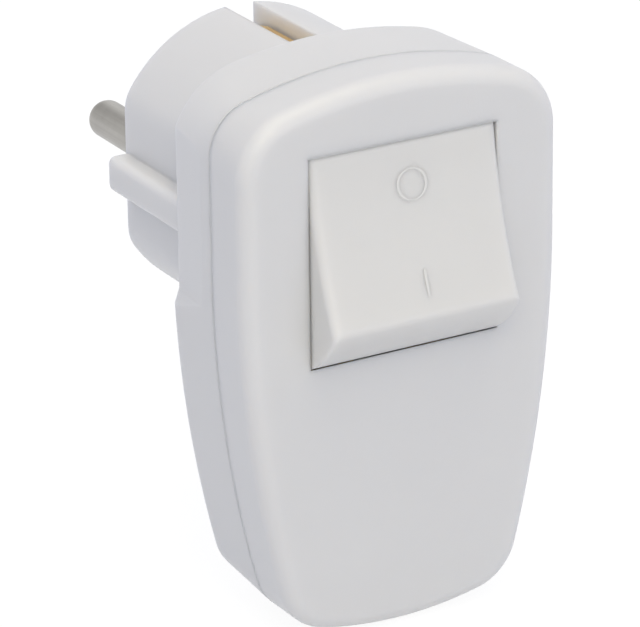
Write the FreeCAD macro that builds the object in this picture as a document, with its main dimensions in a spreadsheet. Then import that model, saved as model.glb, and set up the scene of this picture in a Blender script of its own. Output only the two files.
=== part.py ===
import FreeCAD, Part
import math
import os
import re

import Sketcher
from FreeCAD import Placement, Rotation, Vector

# Switched mains plug with side earth contacts, in millimetres.
# The origin is the middle of the plug face, between the two pins. The pins
# point along +Y, the rocker faces -Y, +X is right and +Z is up.

SIZES = {
    # contact pins, at their standard size and spacing
    "pin_radius": 2.4,
    "pin_length": 19.0,
    "pin_spread": 19.0,
    "pin_tip_round": 1.9,
    "pin_root_radius": 2.8,
    "pin_collar_radius": 3.5,
    "pin_collar": 1.2,
    "pin_shank_radius": 1.6,
    "pin_rivet_radius": 2.9,
    "pin_rivet": 0.8,
    # round plug body with flats, guide ribs and earth slots
    "plug_length": 20.0,
    "plug_radius": 18.3,
    "plug_flat": 16.05,
    "plug_wall": 2.1,
    "face_wall": 3.0,
    "face_round": 0.25,
    "flat_round": 5.0,
    "rib_reach": 18.7,
    "rib_width": 4.5,
    "rib_round": 1.0,
    "slot_width": 4.0,
    "slot_end": 18.1,
    "slot_floor": 13.6,
    "slot_floor_wall": 1.2,
    "slot_side_wall": 1.4,
    "slot_floor_end": 17.2,
    # housing outline at the seam: straight sides that curve in below one level
    "house_half_width": 20.95,
    "side_radius": 157.0,
    "widest_level": -2.5,
    "top_apex": 19.9,
    "top_radius": 58.0,
    "bottom_apex": 48.9,
    "bottom_radius": 50.0,
    "top_corner": 6.35,
    "bottom_corner": 6.2,
    # rear shell, smaller at its back plane
    "seam_depth": 30.3,
    "seam_groove": 0.15,
    "seam_groove_depth": 0.2,
    "rear_wall": 2.6,
    "back_wall": 1.8,
    "back_flare": 0.1,
    "back_top_corner": 11.5,
    "back_top_rise": 0.5,
    "back_bottom_rise": 1.5,
    "back_round": 1.2,
    "lip_height": 1.5,
    "lip_gap": 0.1,
    "relief_depth": 0.9,
    "relief_length": 8.0,
    "relief_level": 7.6,
    "relief_ramp": 2.6,
    # front cover
    "front_depth": 38.68,
    "cover_wall": 1.8,
    "front_flare": 0.45,
    "front_top_rise": 0.4,
    "front_bottom_rise": 0.15,
    "front_top_corner": 8.6,
    "front_bottom_corner": 7.6,
    "front_round": 1.95,
    # rocker on its two trunnions, tilted half its travel at rest
    "pivot_depth": 31.5,
    "pivot_height": -0.6,
    "rocker_half_width": 12.56,
    "rocker_radius": 14.66,
    "rocker_face": 10.4,
    "rocker_dish_radius": 68.0,
    "rocker_dish": 0.8,
    "rocker_skirt": 0.4,
    "rocker_wall": 1.7,
    "rocker_round": 0.9,
    "rocker_gap": 0.14,
    "rocker_side_gap": 0.16,
    "rocker_tilt": 16.0,
    "trunnion_radius": 1.6,
    "trunnion_length": 2.0,
    # running clearances
    "running_gap": 0.05,
    "slide_gap": 0.08,
    "fit_gap": 0.05,
    # switch base inside the rear shell
    "base_thick": 1.5,
    "base_inset": 5.55,
    "base_top": 13.0,
    "base_low": 27.0,
    "tongue_half_width": 6.0,
    "tongue_low": 31.5,
    "lug_inset": 0.2,
    "lug_thick": 2.0,
    "lug_half_width": 2.9,
    "barrier_thick": 0.8,
    "barrier_inset": 0.95,
    "barrier_height": 7.0,
    "pass_gap": 0.2,
    # contacts
    "strip_thick": 0.8,
    "contact_place": 7.0,
    "contact_width": 4.0,
    "seesaw_reach": 8.0,
    "seesaw_flat": 1.0,
    "seesaw_back": 0.45,
    "wing_rise": 0.98,
    "seesaw_tilt": 7.5,
    "hinge_rise": 0.6,
    "hinge_radius": 0.8,
    "hinge_neck": 0.6,
    "hinge_top": 2.4,
    "tip_place": 6.9,
    "tip_radius": 1.3,
    "moving_tip": 0.5,
    "fixed_tip": 0.4,
    "stop_gap": 0.1,
    "stop_length": 2.0,
    "lane_near": 10.2,
    "lane_far": 12.0,
    # plungers and their springs in the rocker
    "plunger_radius": 1.5,
    "plunger_pivot_gap": 0.12,
    "plunger_tail": 3.5,
    "tube_wall": 1.2,
    "tube_end": 1.5,
    "tube_floor": 8.2,
    "spring_radius": 1.05,
    "spring_wire": 0.2,
    "spring_pitch": 0.85,
    # terminals
    "block_width": 7.0,
    "block_height": 6.5,
    "block_length": 7.0,
    "side_block_place": 9.0,
    "side_block_top": 17.4,
    "earth_block_top": 23.4,
    "wire_hole_radius": 1.6,
    "terminal_screw_radius": 1.4,
    "terminal_head_radius": 2.2,
    "terminal_head": 1.6,
    "terminal_screw_reach": 2.2,
    # earth strip across the plug body, and its link to the terminal
    "earth_width": 3.2,
    "earth_strip_out": 16.2,
    "earth_tip": 1.2,
    "cross_level": 18.0,
    "cross_bend": 0.3,
    "earth_bend": 2.0,
    "earth_lead_in": 3.0,
    "earth_lead_drop": 0.7,
    "link_width": 3.0,
    "link_top": 8.0,
    "link_step": 13.0,
    # pin carrier
    "carrier_half_width": 13.5,
    "carrier_half_height": 4.4,
    "carrier_thick": 2.2,
    "carrier_boss": 3.0,
    "carrier_thread_end": 1.2,
    "carrier_screw_end": 1.5,
    "bracket_far": 12.7,
    "bracket_half_height": 3.0,
    # cord inlet and clamp
    "inlet_radius": 4.6,
    "inlet_wall": 1.6,
    "inlet_length": 3.4,
    "clamp_level": 38.75,
    "clamp_half_width": 10.8,
    "clamp_half_height": 2.2,
    "clamp_thick": 2.0,
    "clamp_screw_place": 8.4,
    "clamp_boss_radius": 2.3,
    "clamp_boss_height": 8.5,
    "clamp_rib_half_width": 4.0,
    "clamp_rib_height": 3.4,
    "clamp_rib_thick": 1.2,
    "clamp_screw_radius": 1.3,
    "clamp_head_radius": 2.2,
    "clamp_head": 1.6,
    "clamp_screw_reach": 7.0,
    # screws that hold the cover, and the posts that hold the base
    "house_screw_inset": 7.95,
    "house_screw_level": 31.0,
    "house_screw_radius": 1.4,
    "house_head_radius": 2.6,
    "house_head": 2.0,
    "house_head_sink": 1.2,
    "house_screw_reach": 5.5,
    "rear_boss_radius": 3.8,
    "cover_boss_radius": 2.6,
    "post_radius": 1.2,
    "post_gap": 0.37,
    "post_inset": 6.85,
    "post_high": 10.6,
    "post_low": 25.4,
    "screw_slot": 0.8,
    "screw_slot_depth": 0.7,
}

WORD = re.compile(r"[a-z_]+")
AXES = {"x": Vector(1, 0, 0), "y": Vector(0, 1, 0), "z": Vector(0, 0, 1)}
TURNED = {"x": ((0, 1, 0), 90), "y": ((1, 0, 0), -90), "z": ((0, 0, 1), 0)}

# planes across the depth, from the plug face forward
BACK = "-plug_length"
BACK_INSIDE = "-(plug_length + back_wall)"
BASE_FRONT = "-(plug_length + back_wall + base_thick)"
STRIP_FRONT = "-(plug_length + back_wall + base_thick + strip_thick)"
SEAM = "-seam_depth"
FRONT = "-front_depth"
FRONT_INSIDE = "-(front_depth - cover_wall)"
PIVOT = "-pivot_depth"
HINGE = f"({STRIP_FRONT} - hinge_rise)"
CARRIER_BACK = "-(face_wall + pin_collar)"
CARRIER_FRONT = "-(face_wall + pin_collar + carrier_thick)"
BRACKET_FRONT = "-(face_wall + pin_collar + carrier_thick + strip_thick)"
CROSS_BACK = "-cross_level"
CROSS_FRONT = "-(cross_level + strip_thick)"
LINK_FRONT = "-(cross_level + strip_thick * 2)"

doc = FreeCAD.newDocument("switched_plug")
nodes = {}


def formula(text):
    """The words of a size become cells of the sheet."""

    def cell(match):
        word = match.group()
        return "Sizes." + word if word in SIZES else word

    return WORD.sub(cell, str(text))


def number(text):
    """The value that a formula has now."""

    def value(match):
        word = match.group()
        return f"({SIZES[word]})" if word in SIZES else word

    return FreeCAD.Units.Quantity(WORD.sub(value, str(text))).Value


def bind(thing, **sizes):
    for name, text in sizes.items():
        thing.setExpression(name, formula(text))
    return thing


def move(thing, x="0", y="0", z="0"):
    for letter, text in (("x", x), ("y", y), ("z", z)):
        thing.setExpression("Placement.Base." + letter, formula(text))
    return thing


def tilt(thing, angle):
    """Turns a thing about the X axis by a bound angle."""
    thing.Placement = Placement(Vector(), Rotation(AXES["x"], 1))
    thing.setExpression("Placement.Rotation.Angle", formula(angle))
    return thing


def make_sheet():
    sheet = doc.addObject("Spreadsheet::Sheet", "Sizes")
    for row, (name, size) in enumerate(SIZES.items(), start=1):
        sheet.set(f"A{row}", name)
        sheet.set(f"B{row}", str(size))
        sheet.setAlias(f"B{row}", name)
    doc.recompute()


# Building blocks


def box(name, x, y, z):
    """A block between a low and a high formula along each axis."""
    block = doc.addObject("Part::Box", name)
    for side, (low, high) in zip(("Length", "Width", "Height"), (x, y, z)):
        block.setExpression(side, formula(f"({high}) - ({low})"))
    return move(block, x[0], y[0], z[0])


def rod(name, along, radius, start, end, at):
    """A cylinder along one axis, from start to end, centred at the other two."""
    cylinder = doc.addObject("Part::Cylinder", name)
    axis, angle = TURNED[along]
    cylinder.Placement = Placement(Vector(), Rotation(Vector(*axis), angle))
    bind(cylinder, Radius=radius, Height=f"({end}) - ({start})")
    place = dict(zip([letter for letter in "xyz" if letter != along], at))
    place[along] = start
    return move(cylinder, **place)


def fuse(name, *pieces):
    joined = doc.addObject("Part::MultiFuse", name)
    joined.Shapes = list(pieces)
    joined.Refine = True
    return joined


def cut(name, base, *tools):
    tool = tools[0] if len(tools) == 1 else fuse(name + "_cuts", *tools)
    result = doc.addObject("Part::Cut", name)
    result.Base = base
    result.Tool = tool
    result.Refine = True
    return result


def common(name, *pieces):
    result = doc.addObject("Part::MultiCommon", name)
    result.Shapes = list(pieces)
    result.Refine = True
    return result


def group(name, pieces):
    result = doc.addObject("Part::Compound", name)
    result.Links = list(pieces)
    return result


def rounded(name, base, radius, test):
    """Rounds the edges of a solid that a test picks by their middle point."""
    doc.recompute()
    fillet = doc.addObject("Part::Fillet", name)
    fillet.Base = base
    size = number(radius)
    fillet.Edges = [(place, size, size) for place in picked(base.Shape, test)]
    return fillet


def picked(shape, test):
    found = []
    for place, edge in enumerate(shape.Edges, start=1):
        middle = edge.valueAt((edge.FirstParameter + edge.LastParameter) / 2)
        if test(middle, edge):
            found.append(place)
    return found


def node(label, thing):
    """Names a finished sub-part."""
    thing.Label = label
    nodes[label] = thing
    return thing


def side_span(side, near, far):
    """A span on the right for side +1, or its mirror image for side -1."""
    return (near, far) if side > 0 else (f"-({far})", f"-({near})")


# Sketches


def new_body(name):
    return doc.addObject("PartDesign::Body", name)


def new_sketch(body, name, plane, level="0"):
    """A sketch on one of the body's own planes, moved along its normal."""
    support = [f for f in body.Origin.OriginFeatures if f.Role == plane][0]
    sketch = body.newObject("Sketcher::SketchObject", name)
    sketch.AttachmentSupport = (support, [""])
    sketch.MapMode = "FlatFace"
    sketch.setExpression("AttachmentOffset.Base.z", formula(level))
    return sketch


def hold(sketch, kind, first, text):
    """A sketch dimension bound to a formula."""
    place = sketch.addConstraint(Sketcher.Constraint(kind, *first, number(text)))
    sketch.setExpression(f"Constraints[{place}]", formula(text))


def draw_polygon(sketch, points):
    """A closed outline of straight lines through bound points."""
    corners = [Vector(number(a), number(b), 0) for a, b in points]
    count = len(corners)
    first = sketch.GeometryCount
    for k in range(count):
        line = Part.LineSegment(corners[k], corners[(k + 1) % count])
        sketch.addGeometry(line, False)
    for k in range(count):
        after = first + (k + 1) % count
        joint = Sketcher.Constraint("Coincident", first + k, 2, after, 1)
        sketch.addConstraint(joint)
    for k, (a, b) in enumerate(points):
        hold(sketch, "DistanceX", (-1, 1, first + k, 1), a)
        hold(sketch, "DistanceY", (-1, 1, first + k, 1), b)


def pad(body, sketch, length, both_ways=False, other_way=False):
    feature = body.newObject("PartDesign::Pad", sketch.Name + "_pad")
    feature.Profile = sketch
    feature.Midplane = both_ways
    feature.Reversed = other_way
    return bind(feature, Length=length)


def plate(name, plane, points, low, high):
    """A flat piece: a polygon padded between two levels along X or Y."""
    body = new_body(name)
    if plane == "XZ_Plane":
        sketch = new_sketch(body, name + "_outline", plane, f"-({high})")
    else:
        sketch = new_sketch(body, name + "_outline", plane, low)
    draw_polygon(sketch, points)
    pad(body, sketch, f"({high}) - ({low})")
    return body


def spun(name, points):
    """A turned piece about the Y axis, from its half outline (radius, y)."""
    body = new_body(name)
    sketch = new_sketch(body, name + "_outline", "XY_Plane")
    draw_polygon(sketch, points)
    turn = body.newObject("PartDesign::Revolution", name + "_turn")
    turn.Profile = sketch
    turn.ReferenceAxis = (sketch, ["V_Axis"])
    turn.Angle = 360
    return body


# Housing outline


def low_corner(side_centre, side_radius, end_centre, end_radius, round_radius):
    """Centre of the lower right corner's arc, inside the side and bottom arcs."""
    a = end_radius - round_radius
    b = side_radius - round_radius
    gap = side_centre - end_centre
    reach = gap.Length
    along = (a * a - b * b + reach * reach) / (2 * reach)
    across = math.sqrt(a * a - along * along)
    unit = gap * (1 / reach)
    normal = Vector(-unit.y, unit.x, 0)
    options = [end_centre + unit * along + normal * (k * across) for k in (1, -1)]
    return min(options, key=lambda point: point.y)


def high_corner(half_width, end_centre, end_radius, round_radius):
    """Centre of the upper right corner's arc, inside the side and the top arc."""
    x = half_width - round_radius
    reach = end_radius - round_radius
    return Vector(x, end_centre.y + math.sqrt(reach * reach - x * x), 0)


def mirrored(point):
    return Vector(-point.x, point.y, 0)


def arc_between(centre, radius, start, end):
    """An arc drawn anticlockwise between two directions."""
    if end < start:
        end += 2 * math.pi
    return Part.ArcOfCircle(Part.Circle(centre, AXES["z"], radius), start, end)


def angle_from(centre, point):
    return math.atan2(point.y - centre.y, point.x - centre.x)


def draw_outline(sketch, inset, half_width, top, bottom, top_corner, bottom_corner):
    """Arcs and two straight sides, anticlockwise from the top, held by the sheet."""
    wide = f"({half_width}) - ({inset})"
    radii = {
        "top": f"top_radius - ({inset})",
        "side": f"side_radius - ({inset})",
        "bottom": f"bottom_radius - ({inset})",
        "high": f"{top_corner} - ({inset})",
        "low": f"{bottom_corner} - ({inset})",
    }
    high = f"({top}) - top_radius"
    low = f"bottom_radius - ({bottom})"
    across = f"({half_width}) - side_radius"
    level = "widest_level"
    size = {name: number(text) for name, text in radii.items()}
    upper = Vector(0, number(high), 0)
    lower = Vector(0, number(low), 0)
    right = Vector(number(across), number(level), 0)
    left = mirrored(right)
    high_right = high_corner(number(wide), upper, size["top"], size["high"])
    low_right = low_corner(right, size["side"], lower, size["bottom"], size["low"])
    high_left = mirrored(high_right)
    low_left = mirrored(low_right)
    turn = {
        "high": angle_from(upper, high_right),
        "side": angle_from(right, low_right),
        "low": angle_from(lower, low_right),
    }
    edge = Vector(number(wide), number(level), 0)
    shoulder = Vector(edge.x, high_right.y, 0)
    shapes = [
        arc_between(upper, size["top"], turn["high"], math.pi - turn["high"]),
        arc_between(high_left, size["high"], math.pi - turn["high"], math.pi),
        Part.LineSegment(mirrored(shoulder), mirrored(edge)),
        arc_between(left, size["side"], math.pi, math.pi - turn["side"]),
        arc_between(low_left, size["low"], math.pi - turn["side"], math.pi - turn["low"]),
        arc_between(lower, size["bottom"], math.pi - turn["low"], turn["low"] + 2 * math.pi),
        arc_between(low_right, size["low"], turn["low"], turn["side"]),
        arc_between(right, size["side"], turn["side"], 0),
        Part.LineSegment(edge, shoulder),
        arc_between(high_right, size["high"], 0, turn["high"]),
    ]
    kinds = ["top", "high", None, "side", "low", "bottom", "low", "side", None, "high"]
    for shape in shapes:
        sketch.addGeometry(shape, False)
    count = len(shapes)
    for k in range(count):
        joint = Sketcher.Constraint("Tangent", k, 2, (k + 1) % count, 1)
        sketch.addConstraint(joint)
    for k, kind in enumerate(kinds):
        if kind:
            hold(sketch, "Radius", (k,), radii[kind])
    centres = {0: ("0", high), 3: (f"-({across})", level), 5: ("0", low), 7: (across, level)}
    for k, (a, b) in centres.items():
        hold(sketch, "DistanceX", (-1, 1, k, 3), a)
        hold(sketch, "DistanceY", (-1, 1, k, 3), b)
    for k in (2, 8):
        sketch.addConstraint(Sketcher.Constraint("Vertical", k))


def seam_outline(sketch, inset="0"):
    sizes = ("house_half_width", "top_apex", "bottom_apex")
    draw_outline(sketch, inset, *sizes, "top_corner", "bottom_corner")


def back_outline(sketch, inset="0"):
    top = "top_apex + back_top_rise"
    sizes = ("house_half_width + back_flare", top, "bottom_apex - back_bottom_rise")
    draw_outline(sketch, inset, *sizes, "back_top_corner", "bottom_corner")


def front_outline(sketch, inset="0"):
    wide = "house_half_width + front_flare"
    top = "top_apex + front_top_rise"
    bottom = "bottom_apex - front_bottom_rise"
    draw_outline(sketch, inset, wide, top, bottom, "front_top_corner", "front_bottom_corner")


# Rear housing: shell and round plug body in one moulding


def shell_loft(name, inset, front, back):
    """A solid between the seam outline and the smaller back outline."""
    body = new_body(name)
    seam = new_sketch(body, name + "_seam", "XZ_Plane", f"-({front})")
    seam_outline(seam, inset)
    rear = new_sketch(body, name + "_rear", "XZ_Plane", f"-({back})")
    back_outline(rear, inset)
    loft = body.newObject("PartDesign::AdditiveLoft", name + "_loft")
    loft.Profile = rear
    loft.Sections = [seam]
    loft.Ruled = True
    return body


def cover_loft(name, inset, front, back):
    """A block between the seam outline and the slightly wider front outline."""
    body = new_body(name)
    seam = new_sketch(body, name + "_seam", "XZ_Plane", f"-({back})")
    seam_outline(seam, inset)
    face = new_sketch(body, name + "_face", "XZ_Plane", f"-({front})")
    front_outline(face, inset)
    loft = body.newObject("PartDesign::AdditiveLoft", name + "_loft")
    loft.Profile = seam
    loft.Sections = [face]
    loft.Ruled = True
    return body


def outline_block(name, inset, front, back):
    """A straight block with the seam outline."""
    body = new_body(name)
    sketch = new_sketch(body, name + "_sketch", "XZ_Plane", f"-({back})")
    seam_outline(sketch, inset)
    pad(body, sketch, f"({back}) - ({front})")
    return body


def relief_tool(side):
    """Wedge that thins one side wall towards the back, above a short ramp."""
    near = "house_half_width - relief_depth"
    far = "house_half_width + 2"
    back = f"{BACK} + 0.5"
    front = f"{BACK} - relief_length"
    name = "relief_right" if side > 0 else "relief_left"
    body = new_body(name)
    sections = []
    levels = (
        ("-(relief_level + relief_ramp)", "relief_depth"),
        ("-relief_level", "0"),
        ("top_apex + 2", "0"),
    )
    for k, (level, lift) in enumerate(levels):
        sketch = new_sketch(body, f"{name}_{k}", "XY_Plane", level)
        inner = f"{near} + ({lift})"
        ends = [(inner, back), (far, back), (far, front), (f"{inner} + relief_depth", front)]
        points = [(a if side > 0 else f"-({a})", b) for a, b in ends]
        draw_polygon(sketch, points)
        sections.append(sketch)
    loft = body.newObject("PartDesign::AdditiveLoft", name + "_loft")
    loft.Profile = sections[0]
    loft.Sections = sections[1:]
    loft.Ruled = True
    return body


def plug_body_solid():
    """The round body's outside: a cylinder with two flats, and the ribs."""
    drum = rod("plug_drum", "y", "plug_radius", f"{BACK} - back_wall / 2", "0", ("0", "0"))
    flats = box(
        "plug_flats",
        ("-plug_flat", "plug_flat"),
        (f"{BACK} - back_wall", "1"),
        ("-plug_radius - 1", "plug_radius + 1"),
    )
    trimmed = common("plug_trimmed", drum, flats)
    side = number("plug_flat")
    corners = lambda at, edge: abs(abs(at.x) - side) < 0.01 and -1 > at.y > number(BACK)
    soft = rounded("plug_soft", trimmed, "flat_round", corners)
    smooth = rounded("plug_smooth", soft, "face_round", lambda at, edge: abs(at.y) < 0.01)
    ribs = []
    for side, name in ((-1, "rib_left"), (1, "rib_right")):
        rib = box(
            name,
            side_span(side, "plug_flat - 1", "rib_reach"),
            (f"{BACK} - back_wall / 2", "0"),
            ("-rib_width / 2", "rib_width / 2"),
        )
        reach = number("rib_reach")

        def outer(at, edge):
            long_edge = abs(abs(at.x) - reach) < 0.01 and at.y > number(BACK) - 0.5
            return long_edge or (abs(at.y) < 0.01 and abs(at.z) > 1)

        ribs.append(rounded(name + "_smooth", rib, "rib_round", outer))
    return fuse("plug_outside", smooth, *ribs)


def plug_hollow():
    """The room inside the round body, open to the shell."""
    inner = "plug_radius - plug_wall"
    drum = rod("hollow_drum", "y", inner, f"{BACK_INSIDE} - 0.1", "-face_wall", ("0", "0"))
    flat = "plug_flat - plug_wall"
    flats = box(
        "hollow_flats",
        (f"-({flat})", flat),
        (f"{BACK_INSIDE} - 1", "0"),
        ("-plug_radius", "plug_radius"),
    )
    return common("plug_room", drum, flats)


def slot_walls(side, name):
    """Channel that closes an earth slot off from the room inside."""
    half = "slot_width / 2 + slot_side_wall"
    return box(
        name,
        (f"-({half})", half),
        ("-slot_floor_end", "-face_wall / 2"),
        side_span(side, "slot_floor - slot_floor_wall", "plug_radius - plug_wall / 2"),
    )


def slot_cut(side, name):
    return box(
        name,
        ("-slot_width / 2", "slot_width / 2"),
        ("-slot_end", "1"),
        side_span(side, "slot_floor", "plug_radius + 3"),
    )


def house_screw_places():
    place = "(house_half_width - house_screw_inset)"
    return [(place, "-house_screw_level"), (f"-{place}", "-house_screw_level")]


def clamp_screw_places():
    return [("clamp_screw_place", "-clamp_level"), ("-clamp_screw_place", "-clamp_level")]


def rear_housing():
    outer = shell_loft("shell_outer", "0", f"{SEAM} + seam_groove", BACK)
    doc.recompute()
    back = number(BACK)
    ring = outline_block("seam_ring", "seam_groove_depth", SEAM, f"{SEAM} + 1")
    lip = outline_block("seam_lip", "cover_wall + lip_gap", f"{SEAM} - lip_height", f"{SEAM} + 1")
    relieved = cut("shell_relieved", outer, relief_tool(-1), relief_tool(1))
    at_back = lambda at, edge: abs(at.y - back) < 0.01
    smooth = rounded("shell_smooth", relieved, "back_round", at_back)
    outside = fuse("rear_outside", smooth, ring, lip, plug_body_solid())
    room = shell_loft("shell_room", "rear_wall", f"{SEAM} - lip_height - 1", BACK_INSIDE)
    hollow = cut("rear_hollow", outside, room, plug_hollow())

    added = [slot_walls(1, "slot_walls_top"), slot_walls(-1, "slot_walls_low")]
    boss = rod("carrier_boss_rod", "y", "carrier_boss", CARRIER_BACK, "-face_wall / 2", ("0", "0"))
    added.append(boss)
    for k, at in enumerate(house_screw_places()):
        name = f"house_boss_{k}"
        added.append(rod(name, "y", "rear_boss_radius", SEAM, f"{BACK} - back_wall / 2", at))
    for k, at in enumerate(clamp_screw_places()):
        name = f"clamp_boss_{k}"
        top = f"{BACK_INSIDE} - clamp_boss_height"
        added.append(rod(name, "y", "clamp_boss_radius", top, f"{BACK} - back_wall / 2", at))
    for k, shift in enumerate(("-1", "1")):
        middle = f"-clamp_level + {shift} * (clamp_half_height - clamp_rib_thick / 2)"
        added.append(
            box(
                f"clamp_rib_{k}",
                ("-clamp_rib_half_width", "clamp_rib_half_width"),
                (f"{BACK_INSIDE} - clamp_rib_height", f"{BACK} - back_wall / 2"),
                (f"{middle} - clamp_rib_thick / 2", f"{middle} + clamp_rib_thick / 2"),
            )
        )
    added.append(inlet_collar("rear_collar", "-bottom_apex"))
    limit = fuse("rear_limit", outer_copy(), plug_core())
    filled = common("rear_added", fuse("rear_fittings", *added), limit)
    whole = fuse("rear_whole", hollow, filled)

    removed = [slot_cut(1, "slot_top"), slot_cut(-1, "slot_low"), inlet_tool("rear_inlet")]
    # the lip stops at the cover's half of the inlet's collar
    side = "inlet_radius + inlet_wall + lip_gap"
    lip_y = (f"{SEAM} - lip_height - 1", SEAM)
    lip_z = ("-bottom_apex", "-bottom_apex + rear_wall + 1")
    removed.append(box("lip_gap_at_inlet", (f"-({side})", side), lip_y, lip_z))
    for side, name in ((-1, "pin_hole_left"), (1, "pin_hole_right")):
        at = (f"{side} * pin_spread / 2", "0")
        removed.append(rod(name, "y", "pin_root_radius + fit_gap", "-face_wall - 1", "1", at))
    screw = "terminal_screw_radius + fit_gap"
    start = "-face_wall - pin_collar - 1"
    removed.append(rod("carrier_thread", "y", screw, start, "-carrier_thread_end", ("0", "0")))
    for k, at in enumerate(house_screw_places()):
        seat = f"{BACK} - house_head_sink - house_head"
        shank = "house_screw_radius + fit_gap"
        removed.append(rod(f"house_shank_hole_{k}", "y", shank, f"{SEAM} - 1", f"{BACK} + 1", at))
        head = "house_head_radius + fit_gap * 4"
        removed.append(rod(f"house_head_hole_{k}", "y", head, seat, f"{BACK} + 1", at))
    for k, at in enumerate(clamp_screw_places()):
        top = f"{BACK_INSIDE} - clamp_boss_height"
        thread = "clamp_screw_radius + fit_gap"
        name = f"clamp_thread_{k}"
        end = f"{top} + clamp_screw_reach + 0.5"
        removed.append(rod(name, "y", thread, f"{top} - 1", end, at))
    return node("rear_housing", cut("rear_housing", whole, *removed))


def outer_copy():
    """The space inside the shell's middle wall, which fittings stay within."""
    return shell_loft("fitting_limit", "rear_wall / 2", SEAM, f"{BACK} - back_wall / 2")


def plug_core():
    wall = "plug_radius - plug_wall / 2"
    return rod("fitting_core", "y", wall, f"{BACK_INSIDE} - 1", "-face_wall / 2", ("0", "0"))


def inlet_tool(name):
    """Round cord inlet at the bottom, half in each shell."""
    end = "-bottom_apex + inlet_length + 1"
    return rod(name, "z", "inlet_radius", "-bottom_apex - 1", end, ("0", SEAM))


def inlet_collar(name, start):
    """Thick ring round the inlet, on the inside of the bottom wall."""
    end = "-bottom_apex + inlet_length"
    return rod(name, "z", "inlet_radius + inlet_wall", start, end, ("0", SEAM))


# Front cover


def front_cover():
    outer = cover_loft("cover_outer", "0", FRONT, SEAM)
    doc.recompute()
    face = number(FRONT)
    smooth = rounded("cover_smooth", outer, "front_round", lambda at, edge: abs(at.y - face) < 0.01)
    room = outline_block("cover_room", "cover_wall", FRONT_INSIDE, f"{SEAM} + 1")
    doc.recompute()
    inside = number(FRONT_INSIDE)
    inner_round = "front_round - cover_wall"
    at_inside = lambda at, edge: abs(at.y - inside) < 0.01
    hollow = cut("cover_hollow", smooth, rounded("cover_room_smooth", room, inner_round, at_inside))

    added = []
    for k, at in enumerate(house_screw_places()):
        top = f"{FRONT_INSIDE} - cover_wall / 2"
        added.append(rod(f"cover_boss_{k}", "y", "cover_boss_radius", top, SEAM, at))
    # posts that press the switch base home: two beside the rocker, two below
    high = ("rocker_half_width + post_gap + post_radius", "post_high")
    low = ("house_half_width - post_inset", "-post_low")
    for k, side in enumerate((-1, 1)):
        for (place, level), name in ((high, "high"), (low, "low")):
            top = f"{FRONT_INSIDE} - cover_wall / 2"
            at = (f"{side} * ({place})", level)
            added.append(rod(f"post_{name}_{k}", "y", "post_radius", top, BASE_FRONT, at))
    collar = inlet_collar("cover_collar_rod", "-bottom_apex + cover_wall / 2")
    side = "inlet_radius + inlet_wall + 1"
    front = (f"{SEAM} - inlet_radius - inlet_wall - 1", SEAM)
    half = box("cover_collar_half", (f"-({side})", side), front, ("-bottom_apex", "-bottom_apex + 7"))
    added.append(common("cover_collar", collar, half))
    whole = fuse("cover_whole", hollow, *added)

    half = "rocker_half_width + rocker_side_gap"
    window = "rocker_radius + rocker_gap"
    at = (PIVOT, "pivot_height")
    removed = [rod("rocker_window", "x", window, f"-({half})", half, at), inlet_tool("cover_inlet")]
    for k, at in enumerate(house_screw_places()):
        thread = "house_screw_radius + fit_gap"
        end = f"{SEAM} - house_screw_reach - 0.3"
        removed.append(rod(f"cover_thread_{k}", "y", thread, end, f"{SEAM} + 1", at))
    return node("front_cover", cut("front_cover", whole, *removed))


# Rocker, drawn untilted about its own pivot and then tilted as a whole


def rocker():
    half = "rocker_half_width"
    axis = ("0", "0")
    drum = rod("rocker_drum", "x", "rocker_radius", f"-{half}", half, axis)
    depth = box(
        "rocker_depth",
        (f"-{half} - 1", f"{half} + 1"),
        ("-rocker_radius - 1", "rocker_skirt"),
        ("-rocker_radius - 1", "rocker_radius + 1"),
    )
    block = common("rocker_block", drum, depth)
    dish_at = ("-(rocker_face - rocker_dish + rocker_dish_radius)", "0")
    dish = rod("rocker_dish_tool", "x", "rocker_dish_radius", f"-{half} - 1", f"{half} + 1", dish_at)
    dished = cut("rocker_dished", block, dish)
    limit = number("rocker_face - rocker_dish") - 0.5

    def on_face(at, edge):
        return at.y < -limit and edge.BoundBox.YMax < -limit

    smooth = rounded("rocker_smooth", dished, "rocker_round", on_face)

    inner = "rocker_half_width - rocker_wall"
    room_drum = rod("rocker_room_drum", "x", "rocker_radius - rocker_wall", f"-({inner})", inner, axis)
    room_depth = box(
        "rocker_room_depth",
        (f"-{half}", half),
        ("-rocker_radius", "rocker_skirt + 1"),
        ("-rocker_radius", "rocker_radius"),
    )
    room_dish = rod(
        "rocker_room_dish",
        "x",
        "rocker_dish_radius + rocker_wall",
        f"-{half}",
        half,
        dish_at,
    )
    room = cut("rocker_room", common("rocker_room_block", room_drum, room_depth), room_dish)
    shell = cut("rocker_shell", smooth, room)

    added = []
    removed = []
    for side, word in ((-1, "left"), (1, "right")):
        start, end = side_span(side, f"{half} - rocker_wall / 2", f"{half} + trunnion_length")
        added.append(rod("trunnion_" + word, "x", "trunnion_radius", start, end, axis))
        at = (f"{side} * contact_place", "0")
        tube = "plunger_radius + slide_gap + tube_wall"
        start = "-(rocker_face - rocker_dish - 0.5)"
        added.append(rod("tube_" + word, "y", tube, start, "tube_end", at))
        bore = "plunger_radius + slide_gap"
        removed.append(rod("bore_" + word, "y", bore, "-tube_floor", "tube_end + 1", at))
    whole = fuse("rocker_whole", shell, *added)
    piece = cut("rocker", whole, *removed)
    tilt(piece, "-rocker_tilt")
    return node("rocker", move(piece, "0", PIVOT, "pivot_height"))


# Plungers, drawn from the rocker's pivot and tilted with it

PLUNGER_TIP = (
    f"({HINGE} + pivot_depth - seesaw_back - strip_thick - plunger_radius - plunger_pivot_gap)"
)


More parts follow.
